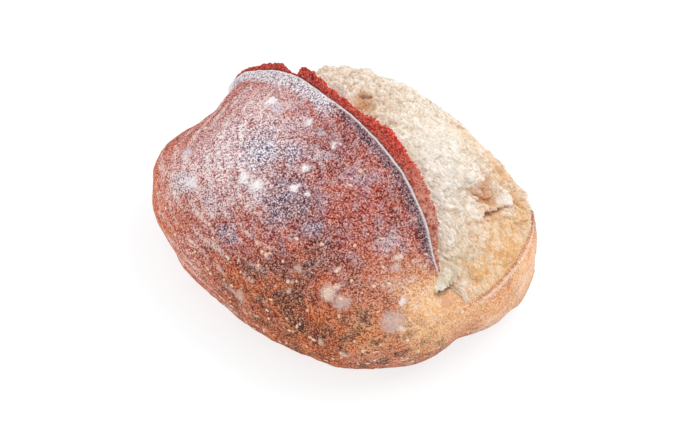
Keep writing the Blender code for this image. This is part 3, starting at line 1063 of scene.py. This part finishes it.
def paint_crumb(plain, relief, crease, cracks, dents, colours):
    """Colours of the crumb: cream, rosy at the high end, golden at the low end, brown painted shade in
    creases, painted shade in hollows and cracks, and painted highlight on peaks.
    """
    place = wander(wander(plain, (12.0, 5.0), (4.0, 2.0)), (4.0, 2.5))
    golden, white, toasted = (zone_of(place, CRUMB_PATCHES, name)
                              for name in ("crumb_gold", "crumb_pale_and_highlight", "crumb_toast_and_shade"))
    peak, hollow = smooth(0.1 * MM, 2.2 * MM, relief), smooth(-0.3 * MM, -1.9 * MM, relief)
    patchy, stained = lumps(plain, 6.0, shift=67.0), smooth(0.1, 0.5, lumps(plain, 5.0, shift=23.0))
    tint = patched(plain_tint("crumb_cream", len(plain), colours), place, CRUMB_PATCHES, colours, 2)
    return layered(tint, colours, (
        # Painted highlight: the crumb's raised peaks laid over in its lightest colour
        ("crumb_pale_and_highlight", 0.7 * peak * (1.0 - 0.5 * golden)),
        # Painted shade: grey in the hollows of the white crumb, toast-brown in the hollows of the golden
        # crumb
        ("crumb_shadow_grey", 0.22 * hollow * (1.0 - golden) * (1.0 - 0.8 * white)),
        ("crumb_toast_and_shade", 0.35 * hollow * golden),
        ("crumb_pale_and_highlight", 0.35 * golden * smooth(0.05, 0.40, patchy)),
        ("crumb_toast_and_shade", 0.30 * golden * smooth(-0.05, -0.40, patchy)),
        ("crumb_toast_and_shade", 0.15 * (1.0 - 0.7 * white) * stained),
        # Painted shade: brown deep in the creases between the folds
        ("crumb_crease_shade", (0.8 - 0.5 * white) * crease),
        # Painted shade: toast-brown in the dents and cracks
        ("crumb_toast_and_shade", 0.4 * smooth(-0.8 * MM, -2.8 * MM, dents)),
        ("crumb_toast_and_shade", 0.65 * toasted),
        ("crumb_toast_and_shade", 0.6 * smooth(0.2 * MM, 1.1 * MM, cracks)),
        # Painted shade: dark brown deep in the cracks
        ("crack_shade_brown", 0.75 * smooth(0.9 * MM, 2.0 * MM, cracks)),
    ))


def make_crumb(sizes, colours):
    """Opened crumb between the ear and the lower lip."""
    across, rings = sizes.crumb_across, sizes.crumb_rings
    first, last = CRUMB_STATIONS
    line = np.interp(np.linspace(0.0, 1.0, rings), (0.0, 0.85, 1.0), (first, 68.0, last))
    station, part = np.repeat(line, across), np.tile(np.linspace(0.0, 1.0, across), rings)
    start, end = crumb_start(station), lip_angle(station) - CRUMB_INSET
    angle = start + (end - start) * part
    ray = rays(angle, station)
    reach = surface_reach(ray)
    plain = from_middle(ray, reach)
    into, left = gap_length(angle, start, station, reach), gap_length(end, angle, station, reach)
    lift = opening_lift(plain, angle, station)
    laid = from_middle(ray, reach + lift)
    dents, cracks = spot_lift(laid), crack_depth(wander(laid, (3.0, 1.2)))
    relief, crease = crumb_relief(plain, station)
    lift += dents - cracks + smooth(0.0, 3.0 * MM, np.minimum(into, left)) * relief
    lift -= 1.3 * MM * smooth(2.5 * MM, 0.0, left)
    mesh = band("opened_crumb", settle(plain, ray, reach, lift).reshape(rings, across, 3))
    tint = paint_crumb(laid, relief, crease, cracks, dents, colours)
    # Painted shade where the crumb meets the lower lip
    tint = layered(tint, colours, [("lip_crease_shade", 0.6 * smooth(0.7 * MM, 0.2 * MM, left))])
    store_tint(mesh, spread_tint(tint, rings, across))
    return finish_piece("opened_crumb", mesh, crumb_finish(colours))


def torn_relief(plain, share, station, weights, angle, reach):
    """Crumbly relief of the torn edge."""
    middle = smooth(TORN_FROM, TORN_FROM + 0.010, share) * smooth(TORN_TO, TORN_TO - 0.010, share)
    middle *= smooth(78.0, 66.0, station) * 0.6 + 0.4
    grain = 0.65 * lumps(plain, 1.6, octaves=2, shift=3.0) + 0.6 * lumps(plain, 3.6, octaves=2, shift=9.0)
    return MM * middle * grain


def make_torn_edge(sizes, colours):
    """Torn edge of the ear, ragged on its far rim."""
    across, rings = sizes.torn_across, sizes.torn_rings
    station = np.repeat(np.linspace(*TORN_STATIONS, rings), across)
    share = np.tile(np.linspace(TORN_FROM, TORN_TO, across), rings)
    points, plain, angle, reach = loaf_surface(share, station, torn_relief)
    mesh = band("torn_edge", points.reshape(rings, across, 3))
    tan = 0.9 * smooth(18.0, 62.0, station) * (0.5 + 0.5 * smooth(0.575, 0.560, share))
    tint = layered(plain_tint("torn_red", len(plain), colours), colours, (
        # Painted shade in the recess under the crest
        ("torn_recess_shade", 0.95 * smooth(0.524, 0.513, share)),
        ("torn_dark_and_shade", 0.4 * smooth(0.0, 0.5, lumps(plain, 3.0, shift=6.0))),
        # Painted highlight along the rim of the torn edge
        ("torn_rim_highlight", 0.9 * smooth(0.545, 0.558, share) * smooth(66.0, 30.0, station)),
        # Painted shade on the outer face that falls from the rim to the crumb
        ("torn_dark_and_shade", 0.8 * smooth(0.572, 0.590, share)),
        ("torn_tan", tan * smooth(-0.7, 0.1, lumps(plain, 5.0, shift=77.0))),
    ))
    store_tint(mesh, spread_tint(tint, rings, across))
    return finish_piece("torn_edge", mesh, torn_finish(colours))


# Flour


def scatter_tree(name, material):
    """Scatter of flattened grains over a surface, as dense as its stored number says."""
    tree = bpy.data.node_groups.new(name, "GeometryNodeTree")
    tree.is_modifier = True
    tree.interface.new_socket("Geometry", in_out="INPUT", socket_type="NodeSocketGeometry")
    for label, kind in (("Density", "Float"), ("Grain size", "Float"), ("Seed", "Int")):
        tree.interface.new_socket(label, in_out="INPUT", socket_type="NodeSocket" + kind)
    tree.interface.new_socket("Geometry", in_out="OUTPUT", socket_type="NodeSocketGeometry")
    add, link = tree.nodes.new, tree.links.new
    entry, leave = add("NodeGroupInput"), add("NodeGroupOutput")
    where = add("GeometryNodeInputNamedAttribute")
    where.data_type = "FLOAT"
    where.inputs["Name"].default_value = name
    density = add("ShaderNodeMath")
    density.operation = "MULTIPLY"
    link(where.outputs["Attribute"], density.inputs[0])
    link(entry.outputs["Density"], density.inputs[1])
    scatter = add("GeometryNodeDistributePointsOnFaces")
    link(entry.outputs["Geometry"], scatter.inputs["Mesh"])
    link(density.outputs[0], scatter.inputs["Density"])
    link(entry.outputs["Seed"], scatter.inputs["Seed"])
    grain = add("GeometryNodeMeshIcoSphere")
    grain.inputs["Subdivisions"].default_value = 1
    link(entry.outputs["Grain size"], grain.inputs["Radius"])
    spread = add("FunctionNodeRandomValue")
    spread.data_type = "FLOAT_VECTOR"
    spread.inputs[0].default_value = GRAIN_LEAST
    spread.inputs[1].default_value = GRAIN_MOST
    link(entry.outputs["Seed"], spread.inputs["Seed"])
    copies = add("GeometryNodeInstanceOnPoints")
    link(scatter.outputs["Points"], copies.inputs["Points"])
    link(scatter.outputs["Rotation"], copies.inputs["Rotation"])
    link(grain.outputs["Mesh"], copies.inputs["Instance"])
    link(spread.outputs[0], copies.inputs["Scale"])
    real = add("GeometryNodeRealizeInstances")
    link(copies.outputs["Instances"], real.inputs["Geometry"])
    finish = add("GeometryNodeSetMaterial")
    finish.inputs["Material"].default_value = material
    link(real.outputs["Geometry"], finish.inputs["Geometry"])
    link(finish.outputs["Geometry"], leave.inputs["Geometry"])
    return tree


def read_table(items, name, width):
    """Numbers that a mesh's items hold under a name, a row for each item."""
    values = np.zeros(len(items) * width, np.float32)
    items.foreach_get(name, values)
    return values.reshape(-1, width)


def scattered(name, weight, settings, material):
    """Piece of grains scattered over the crust by a weight per vertex."""
    crust = bpy.data.objects["crust"]
    carrier = bpy.data.objects.new("carrier", crust.data.copy())
    bpy.context.scene.collection.objects.link(carrier)
    store(carrier.data, name, weight)
    tree = scatter_tree(name, material)
    modifier = carrier.modifiers.new(name, "NODES")
    modifier.node_group = tree
    for item in tree.interface.items_tree:
        if item.in_out == "INPUT" and item.name in settings:
            modifier[item.identifier] = settings[item.name]
    depsgraph = bpy.context.evaluated_depsgraph_get()
    mesh = bpy.data.meshes.new_from_object(carrier.evaluated_get(depsgraph))
    mesh.name = name
    bpy.data.objects.remove(carrier)
    return finish_piece(name, mesh, material)


def make_flour(sizes, colours):
    """Loose grains of flour on the crust, and larger pale flecks lower down."""
    mesh = bpy.data.objects["crust"].data
    place = read_table(mesh.vertices, "co", 3)
    shown, floured = (read_table(mesh.attributes[name].data, "value", 1)[:, 0]
                      for name in ("on_crust", "flour"))
    height = place[:, 2]
    low_end, high_end = np.array(CAD_BOX)
    room = np.minimum(place - low_end, high_end - place)[:, :2].min(axis=1)
    above = smooth(6.0 * MM, 14.0 * MM, height) * shown * smooth(0.8 * MM, 1.4 * MM, room)
    scattered("flour_grains", (0.12 + 0.88 * floured) * above,
              {"Density": sizes.grain_density, "Grain size": sizes.grain_size, "Seed": FLOUR_SEED},
              caked_finish("loose_flour", colours.flour_white, colours.flour_pale))
    low = smooth(92.0 * MM, 60.0 * MM, height)
    scattered("pale_flecks", (0.06 + 0.94 * low) * above * (1.0 - 0.9 * floured),
              {"Density": sizes.fleck_density, "Grain size": sizes.fleck_size, "Seed": FLECK_SEED},
              caked_finish("pale_flecks", colours.flour_cream, colours.fleck_tan))


# Stage


def make_floor(stage, colours):
    """Wide level floor."""
    half = stage.floor_half
    mesh = bpy.data.meshes.new("floor")
    corners = [(-half, -half, 0.0), (half, -half, 0.0), (half, half, 0.0), (-half, half, 0.0)]
    mesh.from_pydata(corners, [], [(0, 1, 2, 3)])
    mesh.materials.append(floor_finish(stage, colours))
    floor = bpy.data.objects.new("floor", mesh)
    bpy.context.scene.collection.objects.link(floor)


def make_lights(stage):
    """Even light all round, and two soft lamps that face the loaf."""
    scene = bpy.context.scene
    world = bpy.data.worlds.new("studio")
    world.use_nodes = True
    sky = world.node_tree.nodes["Background"]
    sky.inputs["Color"].default_value = (1.0, 1.0, 1.0, 1.0)
    sky.inputs["Strength"].default_value = stage.sky_strength
    scene.world = world
    for name, place, size in LAMPS:
        lamp = bpy.data.lights.new(name, "AREA")
        lamp.energy, lamp.size = getattr(stage, name + "_power"), size
        light = bpy.data.objects.new(name, lamp)
        light.location = place
        light.rotation_euler = (-Vector(place)).to_track_quat("-Z", "Y").to_euler()
        scene.collection.objects.link(light)


def make_camera(stage):
    """Camera that looks at the loaf from the front and above."""
    scene = bpy.context.scene
    azimuth, elevation = stage.azimuth, stage.elevation
    back = Vector((math.sin(azimuth) * math.cos(elevation), -math.cos(azimuth) * math.cos(elevation),
                   math.sin(elevation)))
    right = Vector((math.cos(azimuth), math.sin(azimuth), 0.0))
    lens = bpy.data.cameras.new("camera")
    lens.lens = stage.lens
    camera = bpy.data.objects.new("camera", lens)
    eye = LOOK_AT + back * stage.distance
    aim = LOOK_AT + right * AIM_RIGHT * MM - back.cross(right) * AIM_BELOW * MM
    camera.location = eye
    camera.rotation_euler = (aim - eye).to_track_quat("-Z", "Y").to_euler()
    scene.collection.objects.link(camera)
    scene.camera = camera


def make_stage(stage, colours):
    """Floor, soft lights and the camera."""
    bpy.context.scene.view_settings.view_transform = "Standard"
    make_floor(stage, colours)
    make_lights(stage)
    make_camera(stage)


# Settings


def colour_setting(name, words, value):
    """Colour that a user may change."""
    return bpy.props.FloatVectorProperty(name=name, description=words, subtype="COLOR", size=3,
                                         default=linear(*value), min=0.0, max=1.0)


def count_setting(name, words, value):
    """Whole number that a user may change."""
    return bpy.props.IntProperty(name=name, description=words, default=value)


def number_setting(name, words, value, unit="NONE"):
    """Number that a user may change, with its unit."""
    return bpy.props.FloatProperty(name=name, description=words, default=value, unit=unit)


def angle_setting(name, words, degrees):
    """Angle that a user may change."""
    return bpy.props.FloatProperty(name=name, description=words, default=math.radians(degrees),
                                   subtype="ANGLE")


class LoafSizes(bpy.types.PropertyGroup):
    """Fineness of the loaf's pieces and size of its flour grains."""

    crust_segments: count_setting("Crust segments", "Faces round the crust", 320)
    crust_rings: count_setting("Crust rings", "Rings along the crust", 300)
    crumb_across: count_setting("Crumb rows", "Rows across the crumb", 200)
    crumb_rings: count_setting("Crumb rings", "Rings along the crumb", 460)
    torn_across: count_setting("Torn rows", "Rows across the torn edge", 56)
    torn_rings: count_setting("Torn rings", "Rings along the torn edge", 900)
    grain_density: number_setting("Grain density", "Flour grains on a square metre", 60000.0)
    fleck_density: number_setting("Fleck density", "Pale flecks on a square metre", 8000.0)
    fleck_size: number_setting("Fleck size", "Radius of a pale fleck", 1.2 * MM, "LENGTH")
    grain_size: number_setting("Grain size", "Radius of a flour grain", 0.35 * MM, "LENGTH")


class LoafColours(bpy.types.PropertyGroup):
    """Colours of the crust, crumb, flour and floor."""

    crust_red: colour_setting("Crust red", "Main crust colour", (178, 76, 66))
    crust_ruddy: colour_setting("Crust ruddy", "Orange-red crust at the rim", (238, 126, 92))
    crust_deep: colour_setting("Crust deep", "Deep red crust beside the ear", (120, 54, 52))
    crust_vein: colour_setting("Crust vein", "Orange lines between dark patches", (214, 110, 56))
    crust_orange: colour_setting("Crust orange", "Orange crust low down", (212, 106, 52))
    crust_amber: colour_setting("Crust amber", "Orange-brown crust before the tan tip", (212, 144, 110))
    crust_tan: colour_setting("Crust tan", "Least baked crust", (254, 206, 150))
    crust_fire: colour_setting("Crust fire", "Bright red-orange blotches", (212, 92, 50))
    crust_grey: colour_setting("Crust grey", "Greyish-brown blotches", (100, 58, 48))
    crust_slate: colour_setting("Crust slate", "Dark brown dents low down", (88, 52, 48))
    crust_brown: colour_setting("Crust brown", "Brown crust low down", (122, 70, 56))
    crust_mauve: colour_setting("Crust mauve", "Dark crust under thin flour", (128, 80, 92))
    crust_floured: colour_setting("Crust floured", "Crust under a dusting of flour", (226, 192, 192))
    grain_dark: colour_setting("Dark grains", "Darkens the darkest grains of the crust", (144, 112, 102))
    grain_amber: colour_setting("Amber grains", "Darkens the grains of the tan end", (240, 194, 146))
    grain_wine: colour_setting("Wine grains", "Darkens the grains high on the crust", (153, 102, 106))
    grain_rosy: colour_setting("Rosy grains", "Lightest grains high on the bare crust", (245, 190, 176))
    grain_warm: colour_setting("Warm grains", "Lightest grains of the bare crust", (238, 170, 126))
    grain_cream: colour_setting("Cream grains", "Lightest grains of the tan end", (255, 240, 222))
    grain_white: colour_setting("White grains", "Lightest grains under flour", (255, 246, 247))
    # Painted shade on the crust below the ear's crest
    crest_strip_shade: colour_setting("Ear strip", "Dark strip along the ear's crest", (76, 70, 94))
    # Painted highlight along the lower lip's rim
    lip_rim_highlight: colour_setting("Lip rim", "Pale rim of the lower lip", (246, 218, 202))
    # Painted shade in the lower lip's crease
    lip_crease_shade: colour_setting("Lip line", "Line where the crumb meets the lower lip", (176, 100, 58))
    # Painted highlight along the ear's crest
    crest_highlight: colour_setting("Crest line", "Pale line on the ear's crest", (238, 232, 232))
    flour_white: colour_setting("Flour", "Flour on the crust", (250, 246, 248))
    flour_pale: colour_setting("Pale flour", "Bluish-white flour near the ear", (204, 208, 222))
    flour_blue: colour_setting("Bluish flour", "Thin flour over dark crust", (134, 142, 176))
    flour_dusk: colour_setting("Dusky flour", "Thinnest flour over the darkest crust", (96, 96, 128))
    flour_grey: colour_setting("Grey flour", "Greyish caked flour", (212, 186, 178))
    flour_cream: colour_setting("Caked flour", "Flour caked in clumps", (244, 222, 204))
    flour_veil: colour_setting("Flour veil", "Streaks of thin flour", (244, 224, 220))
    fleck_tan: colour_setting("Fleck tan", "Second colour of the pale flecks", (230, 182, 148))
    crumb_cream: colour_setting("Crumb cream", "Main crumb colour", (249, 238, 221))
    # Lightest crumb, also used as painted highlight on the crumb's raised peaks
    crumb_pale_and_highlight: colour_setting("Crumb pale", "Lightest crumb", (254, 249, 240))
    crumb_rosy: colour_setting("Crumb rosy", "Crumb near the ear's high end", (244, 222, 206))
    crumb_gold: colour_setting("Crumb gold", "Golden crumb", (241, 186, 118))
    # Toasted crumb, also painted shade in hollows, dents and cracks
    crumb_toast_and_shade: colour_setting("Crumb toast", "Toasted hollows", (206, 134, 70))
    # Painted shade: grey laid in the crumb's hollows and in patches at the low end
    crumb_shadow_grey: colour_setting("Crumb grey", "Greyish band at the low end", (204, 196, 160))
    # Painted shade where the ear ends
    crumb_shadow_green: colour_setting("Crumb moss", "Greenish-grey crumb where the ear ends", (168, 160, 124))
    crumb_shade: colour_setting("Crumb shade", "Darkens the darkest flecks of the crumb", (230, 214, 186))
    # Painted shade in the crumb's creases
    crumb_crease_shade: colour_setting("Crumb brown", "Crumb deep in creases", (192, 150, 108))
    # Painted shade deep in the crumb's cracks
    crack_shade_brown: colour_setting("Crease brown", "Deep cracks and the lip's crease", (112, 62, 34))
    torn_pale: colour_setting("Torn pale", "Lightest crumbs of the torn edge", (242, 150, 128))
    # Painted shade in the recess under the crest
    torn_recess_shade: colour_setting("Torn deep", "Recess under the crest", (104, 40, 38))
    # Darker torn crumbs, and painted shade on the outer face under the rim
    torn_dark_and_shade: colour_setting("Torn dark", "Deep part of the torn edge", (136, 68, 66))
    torn_red: colour_setting("Torn red", "Torn edge", (192, 58, 48))
    # Painted highlight along the torn edge's rim
    torn_rim_highlight: colour_setting("Torn bright", "Rim of the torn edge", (232, 62, 48))
    torn_tan: colour_setting("Torn tan", "Torn edge at the low end", (222, 166, 144))
    floor: colour_setting("Floor", "Floor colour", (160, 165, 166))


class StageSettings(bpy.types.PropertyGroup):
    """Floor, lights and camera."""

    floor_half: number_setting("Floor half width", "Half the floor's width", 6.0, "LENGTH")
    floor_glow: number_setting("Floor glow", "Light the floor gives back", 0.68)
    sky_strength: number_setting("Sky strength", "Even light all round", 0.82)
    key_power: number_setting("Key power", "Soft light at the back right", 5.5, "POWER")
    fill_power: number_setting("Fill power", "Soft light at the front left", 2.5, "POWER")
    azimuth: angle_setting("Azimuth", "Camera turn round the loaf", 27.5)
    elevation: angle_setting("Elevation", "Camera height angle", 51.6)
    distance: number_setting("Distance", "Camera distance", 0.9, "LENGTH")
    lens: number_setting("Lens", "Focal length in millimetres", 76.1)


class BREAD_OT_crust(bpy.types.Operator):
    """Build the floured crust"""

    bl_idname = "bread.crust"
    bl_label = "Crust"

    def execute(self, context):
        make_crust(context.scene.bread_sizes, context.scene.bread_colours)
        return {"FINISHED"}


class BREAD_OT_crumb(bpy.types.Operator):
    """Build the opened crumb"""

    bl_idname = "bread.crumb"
    bl_label = "Opened crumb"

    def execute(self, context):
        make_crumb(context.scene.bread_sizes, context.scene.bread_colours)
        return {"FINISHED"}


class BREAD_OT_torn_edge(bpy.types.Operator):
    """Build the ear's torn edge"""

    bl_idname = "bread.torn_edge"
    bl_label = "Torn edge"

    def execute(self, context):
        make_torn_edge(context.scene.bread_sizes, context.scene.bread_colours)
        return {"FINISHED"}


class BREAD_OT_flour(bpy.types.Operator):
    """Scatter flour grains over the crust"""

    bl_idname = "bread.flour"
    bl_label = "Flour grains"

    def execute(self, context):
        make_flour(context.scene.bread_sizes, context.scene.bread_colours)
        return {"FINISHED"}


class BREAD_OT_stage(bpy.types.Operator):
    """Set the floor, lights and camera"""

    bl_idname = "bread.stage"
    bl_label = "Stage"

    def execute(self, context):
        make_stage(context.scene.bread_stage, context.scene.bread_colours)
        return {"FINISHED"}


OPERATORS = (BREAD_OT_crust, BREAD_OT_crumb, BREAD_OT_torn_edge, BREAD_OT_flour, BREAD_OT_stage)
GROUPS = (("bread_sizes", LoafSizes), ("bread_colours", LoafColours), ("bread_stage", StageSettings))


class VIEW3D_PT_bread(bpy.types.Panel):
    """Settings and steps of the loaf"""

    bl_label = "Bread"
    bl_space_type = "VIEW_3D"
    bl_region_type = "UI"
    bl_category = "Bread"

    def draw(self, context):
        for name, group in GROUPS:
            box = self.layout.box()
            for key in group.__annotations__:
                box.prop(getattr(context.scene, name), key)
        for operator in OPERATORS:
            self.layout.operator(operator.bl_idname)


def register():
    """Adds the settings, steps and panel."""
    for name, group in GROUPS:
        bpy.utils.register_class(group)
        setattr(bpy.types.Scene, name, bpy.props.PointerProperty(type=group))
    for operator in OPERATORS:
        bpy.utils.register_class(operator)
    bpy.utils.register_class(VIEW3D_PT_bread)


def unregister():
    """Takes them out again."""
    bpy.utils.unregister_class(VIEW3D_PT_bread)
    for operator in reversed(OPERATORS):
        bpy.utils.unregister_class(operator)
    for name, group in reversed(GROUPS):
        delattr(bpy.types.Scene, name)
        bpy.utils.unregister_class(group)


def main():
    """Builds the loaf and its stage."""
    register()
    bpy.ops.bread.crust()
    bpy.ops.bread.crumb()
    bpy.ops.bread.torn_edge()
    bpy.ops.bread.flour()
    bpy.ops.bread.stage()


if __name__ == "__main__":
    main()
